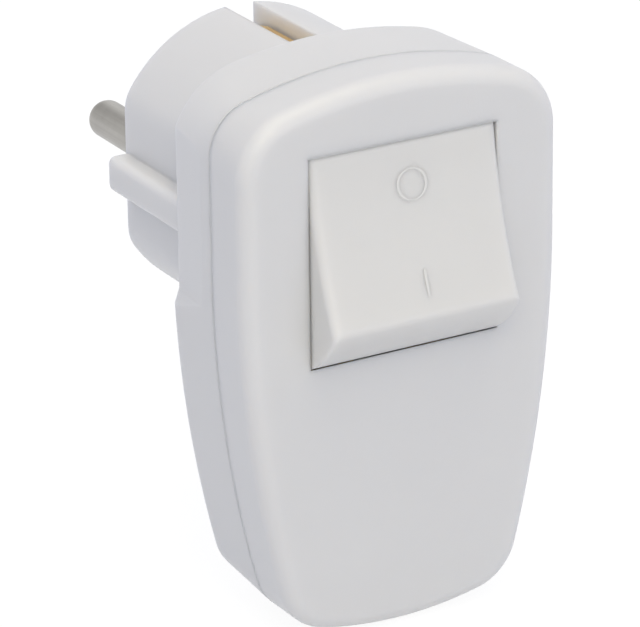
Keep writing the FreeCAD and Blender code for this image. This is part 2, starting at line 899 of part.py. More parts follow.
def plunger(side, word):
    name = "plunger_" + word
    start = f"{PLUNGER_TIP} - plunger_radius - plunger_tail"
    body = rod(name + "_rod", "y", "plunger_radius", start, PLUNGER_TIP, ("0", "0"))
    ball = doc.addObject("Part::Sphere", name + "_ball")
    move(bind(ball, Radius="plunger_radius"), y=PLUNGER_TIP)
    piece = fuse(name, body, ball)
    tilt(piece, "-rocker_tilt")
    return node(name, move(piece, f"{side} * contact_place", PIVOT, "pivot_height"))


def plunger_spring(side, word):
    """Wire helix between the bore's floor and the plunger's tail."""
    name = "plunger_spring_" + word
    floor = "-tube_floor + spring_wire"
    tail = f"{PLUNGER_TIP} - plunger_radius - plunger_tail - spring_wire"
    helix = doc.addObject("Part::Helix", name + "_path")
    bind(helix, Pitch="spring_pitch", Height=f"({tail}) - ({floor})", Radius="spring_radius")
    wire = doc.addObject("Part::Circle", name + "_wire")
    wire.Placement = Placement(Vector(), Rotation(AXES["x"], 90))
    bind(wire, Radius="spring_wire")
    move(wire, x="spring_radius")
    coil = doc.addObject("Part::Sweep", name + "_coil")
    coil.Sections = [wire]
    coil.Spine = (helix, ["Edge1"])
    coil.Solid = True
    coil.Frenet = True
    coil.Placement = Placement(Vector(), Rotation(AXES["x"], -90))
    move(coil, y=floor)
    piece = group(name, [coil])
    tilt(piece, "-rocker_tilt")
    return node(name, move(piece, f"{side} * contact_place", PIVOT, "pivot_height"))


# Switch base


def switch_base():
    width = "(house_half_width - base_inset)"
    floor = plate(
        "base_floor",
        "XZ_Plane",
        [
            (f"-{width}", "base_top"),
            (f"-{width}", "-base_low"),
            ("-tongue_half_width", "-base_low"),
            ("-tongue_half_width", "-tongue_low"),
            ("tongue_half_width", "-tongue_low"),
            ("tongue_half_width", "-base_low"),
            (width, "-base_low"),
            (width, "base_top"),
        ],
        BASE_FRONT,
        BACK_INSIDE,
    )
    added = [floor]
    removed = []
    inner = "rocker_half_width + lug_inset"
    for side, word in ((-1, "left"), (1, "right")):
        x = side_span(side, inner, f"{inner} + lug_thick")
        z = ("pivot_height - lug_half_width", "pivot_height + lug_half_width")
        added.append(box("lug_" + word, x, (PIVOT, f"{BASE_FRONT} + base_thick / 2"), z))
        added.append(rod("lug_round_" + word, "x", "lug_half_width", *x, (PIVOT, "pivot_height")))
        hole = "trunnion_radius + running_gap"
        start, end = side_span(side, f"{inner} - 1", f"{inner} + lug_thick + 1")
        removed.append(rod("lug_hole_" + word, "x", hole, start, end, (PIVOT, "pivot_height")))
        # stop under the open end of the moving contact
        reach = "pivot_height - seesaw_reach"
        half = "contact_width / 2"
        x = side_span(side, f"contact_place - {half}", f"contact_place + {half}")
        top = f"{HINGE} + {seesaw_open_level()} + stop_gap"
        y = (top, f"{BASE_FRONT} + base_thick / 2")
        added.append(box("stop_" + word, x, y, (reach, f"{reach} + stop_length")))
        # barrier between the terminals
        barrier = side_span(
            side,
            "tongue_half_width - barrier_inset - barrier_thick",
            "tongue_half_width - barrier_inset",
        )
        added.append(
            box(
                "barrier_" + word,
                barrier,
                (f"{BASE_FRONT} - barrier_height", f"{BASE_FRONT} + base_thick / 2"),
                ("-tongue_low", "-side_block_top + 1"),
            )
        )
        # slot that the hinge bracket's leg passes through
        leg = side_span(
            side,
            "contact_place - contact_width / 2 - pass_gap",
            "contact_place + contact_width / 2 + pass_gap",
        )
        depth = (f"{BASE_FRONT} - 1", f"{BACK_INSIDE} + 1")
        low = "-(bracket_half_height + strip_thick + pass_gap / 2)"
        z = (low, "-(bracket_half_height - pass_gap / 2)")
        removed.append(box("leg_slot_" + word, leg, depth, z))
    link = "link_width / 2 + pass_gap"
    removed.append(
        box(
            "link_slot",
            (f"-({link})", link),
            (f"{BASE_FRONT} - 1", f"{BACK_INSIDE} + 1"),
            ("-link_step - strip_thick - pass_gap / 2", "-link_step + pass_gap / 2"),
        )
    )
    return node("switch_base", cut("switch_base", fuse("base_whole", *added), *removed))


def seesaw_open_level():
    """How far in the open end's back surface lies, from the hinge axis."""
    drop = "(seesaw_back + wing_rise) * cos(seesaw_tilt * 1 deg)"
    return f"(seesaw_reach * sin(seesaw_tilt * 1 deg) - {drop})"


# Moving contacts, drawn level about the hinge axis and tilted open


def moving_contact(side, word):
    name = "moving_contact_" + word
    back = "-seesaw_back"
    front = "-(seesaw_back + strip_thick)"
    points = [
        (f"{back} - wing_rise", "-seesaw_reach"),
        (back, "-seesaw_flat"),
        (back, "seesaw_flat"),
        (f"{back} - wing_rise", "seesaw_reach"),
        (f"{front} - wing_rise", "seesaw_reach"),
        (front, "seesaw_flat"),
        (front, "-seesaw_flat"),
        (f"{front} - wing_rise", "-seesaw_reach"),
    ]
    half = "contact_width / 2"
    strip = plate(name + "_strip", "YZ_Plane", points, f"-({half})", half)
    radius = "hinge_radius + running_gap"
    seat = rod(name + "_seat", "x", radius, f"-({half}) - 1", f"{half} + 1", ("0", "0"))
    piece = cut(name, strip, seat)
    tilt(piece, "seesaw_tilt")
    return node(name, move(piece, f"{side} * contact_place", HINGE, "pivot_height"))


def moving_tip(side, word):
    """Silver tip on the back of the wing that closes."""
    name = "moving_tip_" + word
    tip = doc.addObject("Part::Cylinder", name + "_button")
    slope = "wing_rise / (seesaw_reach - seesaw_flat)"
    tilt(tip, f"atan({slope}) - 90 deg")
    bind(tip, Radius="tip_radius", Height="moving_tip")
    move(tip, y=f"-seesaw_back - (tip_place - seesaw_flat) * {slope}", z="tip_place")
    piece = group(name, [tip])
    tilt(piece, "seesaw_tilt")
    return node(name, move(piece, f"{side} * contact_place", HINGE, "pivot_height"))


# Fixed contacts and hinge brackets


def fixed_contact(side, word):
    name = "fixed_contact_" + word
    near = "contact_place - contact_width / 2"
    block_near = "side_block_place - block_width / 2"
    block_far = "side_block_place + block_width / 2"
    tip_low = "pivot_height + tip_place - contact_width / 2"
    tip_high = "pivot_height + tip_place + contact_width / 2"
    block_low = "-(side_block_top + block_length)"
    points = [
        (near, tip_high),
        ("lane_far", tip_high),
        ("lane_far", "-side_block_top"),
        (block_far, "-side_block_top"),
        (block_far, block_low),
        (block_near, block_low),
        (block_near, "-side_block_top"),
        ("lane_near", "-side_block_top"),
        ("lane_near", tip_low),
        (near, tip_low),
    ]
    points = [(a if side > 0 else f"-({a})", b) for a, b in points]
    return node(name, plate(name, "XZ_Plane", points, STRIP_FRONT, BASE_FRONT))


def fixed_tips():
    tips = []
    for side, word in ((-1, "left"), (1, "right")):
        at = (f"{side} * contact_place", "pivot_height + tip_place")
        start = f"{STRIP_FRONT} - fixed_tip"
        tips.append(rod("fixed_tip_" + word, "y", "tip_radius", start, STRIP_FRONT, at))
    return node("fixed_tips", group("fixed_tips", tips))


def hinge_bracket(side, word):
    """Foot on the pin, leg through the base, and the ridge of the see-saw."""
    name = "hinge_bracket_" + word
    near = "contact_place - contact_width / 2"
    far = "contact_place + contact_width / 2"
    low = "-(bracket_half_height + strip_thick)"
    x = side_span(side, near, far)
    foot = box(
        name + "_foot",
        side_span(side, near, "bracket_far"),
        (BRACKET_FRONT, CARRIER_FRONT),
        (low, "bracket_half_height"),
    )
    leg = box(name + "_leg", x, (STRIP_FRONT, CARRIER_FRONT), (low, f"{low} + strip_thick"))
    top = box(name + "_top", x, (STRIP_FRONT, BASE_FRONT), (low, "pivot_height + hinge_top"))
    neck = box(
        name + "_neck",
        x,
        (HINGE, f"{STRIP_FRONT} + strip_thick / 2"),
        ("pivot_height - hinge_neck", "pivot_height + hinge_neck"),
    )
    ridge = rod(name + "_ridge", "x", "hinge_radius", *x, (HINGE, "pivot_height"))
    whole = fuse(name + "_whole", foot, leg, top, neck, ridge)
    at = (f"{side} * pin_spread / 2", "0")
    radius = "pin_shank_radius + fit_gap"
    hole = rod(name + "_hole", "y", radius, f"{BRACKET_FRONT} - 1", "-face_wall", at)
    return node(name, cut(name, whole, hole))


# Pins, their carrier and its screw


def pin(side, word):
    name = "pin_" + word
    rivet = f"{BRACKET_FRONT} - pin_rivet"
    points = [
        ("0", rivet),
        ("pin_rivet_radius", rivet),
        ("pin_rivet_radius", BRACKET_FRONT),
        ("pin_shank_radius", BRACKET_FRONT),
        ("pin_shank_radius", CARRIER_BACK),
        ("pin_collar_radius", CARRIER_BACK),
        ("pin_collar_radius", "-face_wall"),
        ("pin_root_radius", "-face_wall"),
        ("pin_root_radius", "0"),
        ("pin_radius", "0"),
        ("pin_radius", "pin_length"),
        ("0", "pin_length"),
    ]
    body = spun(name + "_blank", points)
    doc.recompute()
    tip = number("pin_length")
    smooth = rounded(name, body, "pin_tip_round", lambda at, edge: abs(at.y - tip) < 0.01)
    return node(name, move(smooth, x=f"{side} * pin_spread / 2"))


def pin_carrier():
    slab = box(
        "carrier_slab",
        ("-carrier_half_width", "carrier_half_width"),
        (CARRIER_FRONT, CARRIER_BACK),
        ("-carrier_half_height", "carrier_half_height"),
    )
    through = (f"{CARRIER_FRONT} - 1", f"{CARRIER_BACK} + 1")
    holes = []
    for side, word in ((-1, "left"), (1, "right")):
        at = (f"{side} * pin_spread / 2", "0")
        radius = "pin_shank_radius + fit_gap"
        holes.append(rod("carrier_hole_" + word, "y", radius, *through, at))
    radius = "terminal_screw_radius + fit_gap"
    middle = rod("carrier_screw_hole", "y", radius, *through, ("0", "0"))
    return node("pin_carrier", cut("pin_carrier", slab, *holes, middle))


def screw(name, at, head_front, head, head_radius, shank_radius, tip, slot_front=True):
    """Slotted screw along Y, with its head between two planes."""
    x, z = at
    head_back = f"({head_front}) + ({head})"
    top = rod(name + "_head", "y", head_radius, head_front, head_back, at)
    low, high = (head_back, tip) if slot_front else (tip, head_front)
    shank = rod(name + "_shank", "y", shank_radius, low, high, at)
    whole = fuse(name + "_whole", top, shank)
    if slot_front:
        depth = (f"({head_front}) - 1", f"({head_front}) + screw_slot_depth")
    else:
        depth = (f"({head_back}) - screw_slot_depth", f"({head_back}) + 1")
    across = (f"{x} - ({head_radius}) - 1", f"{x} + ({head_radius}) + 1")
    width = (f"{z} - screw_slot / 2", f"{z} + screw_slot / 2")
    return cut(name, whole, box(name + "_slot", across, depth, width))


def carrier_screw():
    front = f"{CARRIER_FRONT} - terminal_head"
    sizes = ("terminal_head", "terminal_head_radius", "terminal_screw_radius")
    piece = screw("carrier_screw", ("0", "0"), front, *sizes, "-carrier_screw_end")
    return node("carrier_screw", piece)


# Earth strip, its link and the terminals


def earth_strip():
    """One bent strip from the upper slot across to the lower slot."""
    out = "earth_strip_out"
    under = "earth_strip_out - strip_thick"
    tip = "-earth_tip"
    bend = "-(earth_tip + earth_lead_in)"
    corner = f"{CROSS_FRONT} + earth_bend"
    high = [
        (CROSS_FRONT, f"{out} - earth_bend"),
        (corner, out),
        (bend, out),
        (tip, f"{out} - earth_lead_drop"),
        (tip, f"{under} - earth_lead_drop"),
        (bend, under),
        (f"{corner} + cross_bend", under),
        (CROSS_BACK, f"{under} - earth_bend + cross_bend"),
    ]
    low = [(a, f"-({b})") for a, b in reversed(high)]
    half = "earth_width / 2"
    return node("earth_strip", plate("earth_strip", "YZ_Plane", high + low, f"-({half})", half))


def earth_link():
    """Tab on the earth strip, through the base, down to its terminal."""
    low = "-(earth_block_top + block_length)"
    points = [
        (CROSS_FRONT, "-link_top"),
        (LINK_FRONT, "-link_top"),
        (LINK_FRONT, "-link_step"),
        (STRIP_FRONT, "-link_step"),
        (STRIP_FRONT, low),
        (BASE_FRONT, low),
        (BASE_FRONT, "-(link_step + strip_thick)"),
        (CROSS_FRONT, "-(link_step + strip_thick)"),
    ]
    half = "link_width / 2"
    return node("earth_link", plate("earth_link", "YZ_Plane", points, f"-({half})", half))


TERMINALS = {
    "left": ("-side_block_place", "side_block_top"),
    "right": ("side_block_place", "side_block_top"),
    "earth": ("0", "earth_block_top"),
}


def terminal(word):
    name = "terminal_" + word
    x, top = TERMINALS[word]
    block = box(
        name + "_block",
        (f"{x} - block_width / 2", f"{x} + block_width / 2"),
        (f"{STRIP_FRONT} - block_height", STRIP_FRONT),
        (f"-({top} + block_length)", f"-{top}"),
    )
    depth = f"{STRIP_FRONT} - block_height / 2"
    ends = (f"-({top} + block_length) - 1", f"-{top} + 1")
    wire = rod(name + "_wire", "z", "wire_hole_radius", *ends, (x, depth))
    at = (x, f"-({top} + block_length / 2)")
    thread = "terminal_screw_radius + fit_gap"
    front = f"{STRIP_FRONT} - block_height"
    hole = rod(name + "_thread", "y", thread, f"{front} - 1", depth, at)
    return node(name, cut(name, block, wire, hole))


def terminal_screws():
    screws = []
    front = f"{STRIP_FRONT} - block_height"
    for word, (x, top) in TERMINALS.items():
        at = (x, f"-({top} + block_length / 2)")
        sizes = ("terminal_head", "terminal_head_radius", "terminal_screw_radius")
        tip = f"{front} + terminal_screw_reach"
        screws.append(screw("terminal_screw_" + word, at, f"{front} - terminal_head", *sizes, tip))
    return node("terminal_screws", group("terminal_screws", screws))


# Cord clamp and the screws that hold the housing


def cord_clamp():
    seat = f"{BACK_INSIDE} - clamp_boss_height"
    bar = box(
        "clamp_bar_block",
        ("-clamp_half_width", "clamp_half_width"),
        (f"{seat} - clamp_thick", seat),
        ("-clamp_level - clamp_half_height", "-clamp_level + clamp_half_height"),
    )
    holes = []
    for k, at in enumerate(clamp_screw_places()):
        radius = "clamp_screw_radius + fit_gap"
        through = (f"{seat} - clamp_thick - 1", f"{seat} + 1")
        holes.append(rod(f"clamp_hole_{k}", "y", radius, *through, at))
    return node("cord_clamp", cut("cord_clamp", bar, *holes))


def clamp_screws():
    seat = f"{BACK_INSIDE} - clamp_boss_height"
    screws = []
    for k, at in enumerate(clamp_screw_places()):
        front = f"{seat} - clamp_thick - clamp_head"
        sizes = ("clamp_head", "clamp_head_radius", "clamp_screw_radius")
        screws.append(screw(f"clamp_screw_{k}", at, front, *sizes, f"{seat} + clamp_screw_reach"))
    return node("clamp_screws", group("clamp_screws", screws))


def housing_screws():
    screws = []
    for k, at in enumerate(house_screw_places()):
        front = f"{BACK} - house_head_sink - house_head"
        sizes = ("house_head", "house_head_radius", "house_screw_radius")
        tip = f"{SEAM} - house_screw_reach"
        screws.append(screw(f"housing_screw_{k}", at, front, *sizes, tip, slot_front=False))
    return node("housing_screws", group("housing_screws", screws))


def build():
    make_sheet()
    rear_housing()
    front_cover()
    rocker()
    switch_base()
    fixed_tips()
    for side, word in ((-1, "left"), (1, "right")):
        plunger(side, word)
        plunger_spring(side, word)
        moving_contact(side, word)
        moving_tip(side, word)
        fixed_contact(side, word)
        hinge_bracket(side, word)
        pin(side, word)
    pin_carrier()
    carrier_screw()
    earth_strip()
    earth_link()
    for word in TERMINALS:
        terminal(word)
    terminal_screws()
    cord_clamp()
    clamp_screws()
    housing_screws()
    doc.recompute()


def check():
    for thing in doc.Objects:
        if "Invalid" in thing.State or "Error" in thing.State:
            raise RuntimeError(f"{thing.Label} failed: {thing.State}")
    for label, thing in nodes.items():
        if thing.Shape.isNull() or not thing.Shape.isValid() or thing.Shape.Volume <= 0:
            raise RuntimeError(f"{label} has no valid shape")


def export():
    os.makedirs("parts", exist_ok=True)
    for label, thing in nodes.items():
        thing.Shape.exportStep(f"parts/{label}.step")
        limits = thing.Shape.BoundBox
        low = f"{limits.XMin:.2f} {limits.YMin:.2f} {limits.ZMin:.2f}"
        high = f"{limits.XMax:.2f} {limits.YMax:.2f} {limits.ZMax:.2f}"
        solids = len(thing.Shape.Solids)
        print(f"{label}: {solids} solid, {thing.Shape.Volume:.1f} mm3, {low} to {high}")


build()
check()
export()
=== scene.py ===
import math

import bmesh
import bpy
from mathutils import Matrix, Vector


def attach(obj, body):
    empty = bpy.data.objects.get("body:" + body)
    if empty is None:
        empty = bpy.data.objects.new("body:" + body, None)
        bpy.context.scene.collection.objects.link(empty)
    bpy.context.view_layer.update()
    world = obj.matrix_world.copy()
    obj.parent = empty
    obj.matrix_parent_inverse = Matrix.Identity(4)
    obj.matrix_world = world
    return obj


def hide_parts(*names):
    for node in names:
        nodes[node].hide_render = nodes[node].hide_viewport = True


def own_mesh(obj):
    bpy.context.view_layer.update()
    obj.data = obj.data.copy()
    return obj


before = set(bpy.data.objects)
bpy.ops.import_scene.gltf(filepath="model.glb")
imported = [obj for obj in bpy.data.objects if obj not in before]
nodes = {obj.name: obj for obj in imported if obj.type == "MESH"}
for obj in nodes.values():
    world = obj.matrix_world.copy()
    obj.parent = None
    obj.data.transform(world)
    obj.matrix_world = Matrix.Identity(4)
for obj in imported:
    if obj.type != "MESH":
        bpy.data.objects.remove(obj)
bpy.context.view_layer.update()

# The plug as it was photographed: from its left, a little above, through a
# long lens. Azimuth and elevation are those of the line from plug to lens.
view_azimuth = math.radians(-29.856)
view_elevation = math.radians(21.912)
view_roll = math.radians(-0.734)
view_distance = 0.56647
view_aside = 0.009634
view_above = -0.020692
focal_pixels = 4618.4
picture_width = 640
sensor_width = 36.0
nearest_seen = 0.05
farthest_seen = 20


def place_camera():
    """Looks along the line from lens to plug, with the plug a little off the middle."""
    backward = Vector((
        math.sin(view_azimuth) * math.cos(view_elevation),
        -math.cos(view_azimuth) * math.cos(view_elevation),
        math.sin(view_elevation),
    ))
    right = Vector((math.cos(view_azimuth), math.sin(view_azimuth), 0))
    up = backward.cross(right)
    across = right * math.cos(view_roll) + up * math.sin(view_roll)
    upward = up * math.cos(view_roll) - right * math.sin(view_roll)
    place = across * view_aside + upward * view_above + backward * view_distance
    lens = bpy.data.cameras.new("plug_view")
    lens.sensor_width = sensor_width
    lens.lens = focal_pixels * sensor_width / picture_width
    lens.clip_start = nearest_seen
    lens.clip_end = farthest_seen
    camera = bpy.data.objects.new("plug_view", lens)
    turn = Matrix((across, upward, backward)).transposed().to_4x4()
    camera.matrix_world = Matrix.Translation(place) @ turn
    bpy.context.scene.collection.objects.link(camera)
    bpy.context.scene.camera = camera


place_camera()


# The floor is a sheet of white paper that the plug stands on, and the room
# round it is white too. Both show as plain white to the lens and in polished
# metal, and the paper keeps a faint shadow round the plug.
paper_level = -0.0492
paper_radius = 3.0
paper_sides = 96
paper_white = (0.78, 0.785, 0.795, 1)
paper_glow = 1.08
paper_glow_share = 0.86
plain_white = (1, 1, 1, 1)
room_light = (0.743, 0.798, 1.0, 1)
room_strength = 0.656


class Signal:
    """A shader socket, with the sums and further nodes that start from it."""

    def __init__(self, tree, socket=None):
        self.tree = tree
        self.socket = socket

    def node(self, kind, sockets, output=0, stops=None, **settings):
        """A new node: its settings first, then its sockets, linked or set."""
        made = self.tree.nodes.new("ShaderNode" + kind)
        for name, value in settings.items():
            setattr(made, name, value)
        if stops:
            ramp = made.color_ramp.elements
            while len(ramp) < len(stops):
                ramp.new(1.0)
            for element, (place, grey) in zip(ramp, stops):
                element.position = place
                element.color = (grey, grey, grey, 1)
        for name, value in sockets.items():
            if isinstance(value, Signal):
                self.tree.links.new(value.socket, made.inputs[name])
            else:
                made.inputs[name].default_value = value
        return Signal(self.tree, made.outputs[output] if made.outputs else None)

    def maths(self, operation, first, second):
        return self.node("Math", {0: first, 1: second}, operation=operation)

    def __add__(self, other):
        return self.maths("ADD", self, other)

    __radd__ = __add__

    def __sub__(self, other):
        return self.maths("SUBTRACT", self, other)

    def __rsub__(self, other):
        return self.maths("SUBTRACT", other, self)

    def __mul__(self, other):
        return self.maths("MULTIPLY", self, other)

    __rmul__ = __mul__

    def sharpened(self, contrast):
        """A noise spread out round its middle, which is a half."""
        return self * contrast - (contrast - 1) / 2

    def mix(self, first, second):
        """A colour between two, with this signal as the factor."""
        return self.node("Mix", {0: self, 6: first, 7: second}, output=2, data_type="RGBA")


def new_finish(name):
    """An empty material, and the signal that its nodes start from."""
    material = bpy.data.materials.new(name)
    material.use_nodes = True
    material.node_tree.nodes.clear()
    return material, Signal(material.node_tree)


def shown_rays(start):
    """One where the lens, a reflection or a clear piece looks, else zero."""
    camera = start.node("LightPath", {}, output="Is Camera Ray")
    glossy = start.node("LightPath", {}, output="Is Glossy Ray")
    through = start.node("LightPath", {}, output="Is Transmission Ray")
    return start.maths("MINIMUM", camera + glossy + through, 1.0)


def lay_paper():
    """The sheet, whose glow only the lens and polished pieces see."""
    paper, start = new_finish("floor_paper")
    seen = shown_rays(start) * paper_glow_share
    matte = start.node("BsdfDiffuse", {"Color": paper_white})
    glow = start.node("Emission", {"Color": plain_white, "Strength": paper_glow})
    both = start.node("MixShader", {0: seen, 1: matte, 2: glow})
    start.node("OutputMaterial", {"Surface": both})
    shape = bmesh.new()
    bmesh.ops.create_circle(shape, cap_ends=True, segments=paper_sides, radius=paper_radius)
    bmesh.ops.translate(shape, verts=shape.verts, vec=(0, 0, paper_level))
    mesh = bpy.data.meshes.new("floor_paper")
    shape.to_mesh(mesh)
    shape.free()
    mesh.materials.append(paper)
    floor = bpy.data.objects.new("floor_paper", mesh)
    bpy.context.scene.collection.objects.link(floor)


def light_room():
    """The room's cool light, seen as plain white."""
    room = bpy.data.worlds.new("white_room")
    room.use_nodes = True
    room.node_tree.nodes.clear()
    start = Signal(room.node_tree)
    lit = start.node("Background", {"Color": room_light, "Strength": room_strength})
    white = start.node("Background", {"Color": plain_white, "Strength": 1.0})
    both = start.node("MixShader", {0: shown_rays(start), 1: lit, 2: white})
    start.node("OutputWorld", {"Surface": both})
    bpy.context.scene.world = room


lay_paper()
light_room()
bpy.context.scene.view_settings.view_transform = "Standard"


# A wide soft lamp hangs over the plug and a second one stands on its left, both
# warm. The third stands low on its right, and is cool like the room's own light.
lamp_aim = Vector((0, -0.02, -0.015))
warm_above = (1.0, 0.90, 0.64)
warm_aside = (1.0, 0.915, 0.675)
cool_below = (0.85, 0.90, 1.0)


def hang_lamp(name, place, width, power, colour):
    """A round soft lamp that looks at the plug."""
    lamp = bpy.data.lights.new(name, "AREA")
    lamp.shape = "DISK"
    lamp.size = width
    lamp.energy = power
    lamp.color = colour
    thing = bpy.data.objects.new(name, lamp)
    towards = lamp_aim - Vector(place)
    turn = towards.to_track_quat("-Z", "Y").to_matrix().to_4x4()
    thing.matrix_world = Matrix.Translation(place) @ turn
    bpy.context.scene.collection.objects.link(thing)


hang_lamp("top_lamp", place=(0, -0.3, 1.4), width=1.2, power=6.95, colour=warm_above)
hang_lamp("left_lamp", place=(-0.5, -0.9, 0.8), width=0.8, power=5.05, colour=warm_aside)
hang_lamp("low_lamp", place=(0.35, -1.4, 0.05), width=0.9, power=2.3, colour=cool_below)


# The rear housing is the shell and the round plug body in one moulding of a
# hard cool-white thermoplastic. The mould leaves a satin skin with faint flow
# clouds, a very fine grain and softly broken edges.
housing_white = (0.723, 0.722, 0.720, 1)
housing_shade = (0.708, 0.707, 0.706, 1)
satin = 0.36
broken_edge = 0.0005
broken_edge_samples = 6
cloud_scale = 70.0
cloud_contrast = 1.6
cloud_rough = 0.06
wave_scale = 140.0
wave_height = 2.0
grain_scale = 3200.0
grain_rough = 0.05
grain_strength = 0.35
grain_depth = 0.00002
plastic_index = 1.5
light_spread = (1.0, 0.95, 0.9)
light_reach = 0.002


def moulded_plastic(name, pale, deep, gloss, edge=broken_edge, milk=1.0):
    """Milk is the share of the light that spreads inside the plastic."""
    finish, start = new_finish(name)
    place = start.node("TexCoord", {}, output="Object")
    clouds = start.node("TexNoise", {"Vector": place, "Scale": cloud_scale, "Detail": 3.0})
    grain = start.node("TexNoise", {"Vector": place, "Scale": grain_scale, "Detail": 2.0})
    waves = start.node("TexNoise", {"Vector": place, "Scale": wave_scale, "Detail": 1.0})
    smoothest = gloss - (cloud_rough + grain_rough) / 2
    bump = {
        "Height": grain + waves * wave_height,
        "Strength": grain_strength,
        "Distance": grain_depth,
        "Normal": start.node("Bevel", {"Radius": edge}, samples=broken_edge_samples),
    }
    skin = {
        "Base Color": clouds.sharpened(cloud_contrast).mix(deep, pale),
        "Roughness": clouds * cloud_rough + grain * grain_rough + smoothest,
        "Normal": start.node("Bump", bump),
        "IOR": plastic_index,
        "Subsurface Weight": milk,
        "Subsurface Radius": light_spread,
        "Subsurface Scale": light_reach,
    }
    start.node("OutputMaterial", {"Surface": start.node("BsdfPrincipled", skin)})
    return finish


def dress(finish, *names):
    """Gives CAD pieces a finish."""
    for name in names:
        for slot in nodes[name].material_slots:
            slot.material = finish


housing_plastic = moulded_plastic("housing_plastic", housing_white, housing_shade, satin)
dress(housing_plastic, "rear_housing")


# The front cover is moulded in the same plastic and closes the shell along a
# fine groove. Its edge is rounded all round, and its window holds the rocker.
dress(housing_plastic, "front_cover")


# The rocker is a hollow cap, moulded in a slightly creamier plastic, that tips
# on two trunnions. A ring and a bar, raised on its hollow face, mark off and on.
rocker_white = (0.712, 0.707, 0.691, 1)
rocker_shade = (0.698, 0.693, 0.678, 1)
rocker_gloss = 0.33
rocker_edge = 0.0008
rocker_pivot = Vector((0, -0.0315, -0.0006))
rocker_tilt = math.radians(-16)
face_depth = 0.0096
dish_radius = 0.068
mark_white = (0.692, 0.687, 0.672, 1)
mark_shade = (0.680, 0.675, 0.660, 1)
mark_edge = 0.00005
mark_aside = 0.0006
mark_stroke = 0.00052
mark_sides = 20
mark_sink = 0.00048
ring_radius = 0.00188
ring_above = 0.0053
ring_steps = 72
bar_below = 0.0064
bar_length = 0.0039
bar_rounding = 0.8
bar_round_steps = 5
weld_gap = 1e-7

rocker_plastic = moulded_plastic(
    "rocker_plastic", rocker_white, rocker_shade, rocker_gloss, edge=rocker_edge)
dress(rocker_plastic, "rocker")
mark_plastic = moulded_plastic(
    "mark_plastic", mark_white, mark_shade, rocker_gloss, edge=mark_edge, milk=0.0)


def on_rocker_face(above):
    """Where a mark lies on the hollow face: its middle, turned to the face there."""
    lean = math.asin(above / dish_radius)
    depth = face_depth + dish_radius * (1 - math.cos(lean))
    middle = Matrix.Translation((mark_aside, -depth + mark_sink, above))
    tipped = Matrix.Rotation(rocker_tilt, 4, "X")
    return Matrix.Translation(rocker_pivot) @ tipped @ middle @ Matrix.Rotation(lean, 4, "X")


def finish_piece(name, shape, finish, body):
    """Makes an object of a bmesh, smooth, with its finish, on a CAD body."""
    bmesh.ops.recalc_face_normals(shape, faces=shape.faces)
    for face in shape.faces:
        face.smooth = True
    mesh = bpy.data.meshes.new(name)
    shape.to_mesh(mesh)
    shape.free()
    mesh.materials.append(finish)
    piece = bpy.data.objects.new(name, mesh)
    bpy.context.scene.collection.objects.link(piece)
    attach(piece, body)
    return piece


def raise_ring():
    """A round stroke turned about the ring's middle, and sunk in the face."""
    shape = bmesh.new()
    bmesh.ops.create_circle(shape, segments=mark_sides, radius=mark_stroke)
    bmesh.ops.translate(shape, verts=shape.verts, vec=(ring_radius, 0, 0))
    turn = {"cent": (0, 0, 0), "axis": (0, 1, 0), "angle": math.tau, "steps": ring_steps}
    bmesh.ops.spin(shape, geom=shape.verts[:] + shape.edges[:], use_merge=True, **turn)
    bmesh.ops.remove_doubles(shape, verts=shape.verts, dist=weld_gap)
    shape.transform(on_rocker_face(ring_above))
    finish_piece("off_ring", shape, mark_plastic, "rocker")


def raise_bar():
    """A short round stroke with rounded ends, sunk in the face."""
    shape = bmesh.new()
    bmesh.ops.create_circle(shape, segments=mark_sides, radius=mark_stroke, cap_ends=True)
    drawn = bmesh.ops.extrude_face_region(shape, geom=shape.faces[:])["geom"]
    far = [item for item in drawn if isinstance(item, bmesh.types.BMVert)]
    bmesh.ops.translate(shape, verts=far, vec=(0, 0, bar_length))
    bmesh.ops.translate(shape, verts=shape.verts, vec=(0, 0, -bar_length / 2))
    ends = [face for face in shape.faces if len(face.verts) == mark_sides]
    rims = [edge for face in ends for edge in face.edges]
    rounding = {"affect": "EDGES", "segments": bar_round_steps, "profile": 0.5, "material": -1}
    bmesh.ops.bevel(shape, geom=rims, offset=mark_stroke * bar_rounding, **rounding)
    shape.transform(on_rocker_face(-bar_below))
    finish_piece("on_bar", shape, mark_plastic, "rocker")


raise_ring()
raise_bar()


# Two plungers of natural plastic slide in the rocker's tubes. Each is pressed
# on its moving contact by a small spring wound from drawn steel wire, which
# shortens as the plunger goes in.
natural_pale = (0.62, 0.60, 0.53, 1)
natural_deep = (0.58, 0.55, 0.48, 1)
natural_gloss = 0.55
natural_edge = 0.0001
base_plastic = moulded_plastic(
    "base_plastic", natural_pale, natural_deep, natural_gloss, edge=natural_edge)
dress(base_plastic, "plunger_left", "plunger_right")

wire_steel = (0.47, 0.48, 0.50, 1)
wire_shade = (0.40, 0.41, 0.43, 1)
evenly = (1, 1, 1)
worn_edge = 0.00008
worn_edge_samples = 4
line_contrast = 3.0
line_strength = 0.4
line_depth = 0.00001
line_rough = 0.12
stain_scale = 260.0
stain_stops = ((0.38, 0.0), (0.66, 1.0))
stain_rough = 0.08
tube_axis = Vector((0, math.cos(rocker_tilt), math.sin(rocker_tilt)))


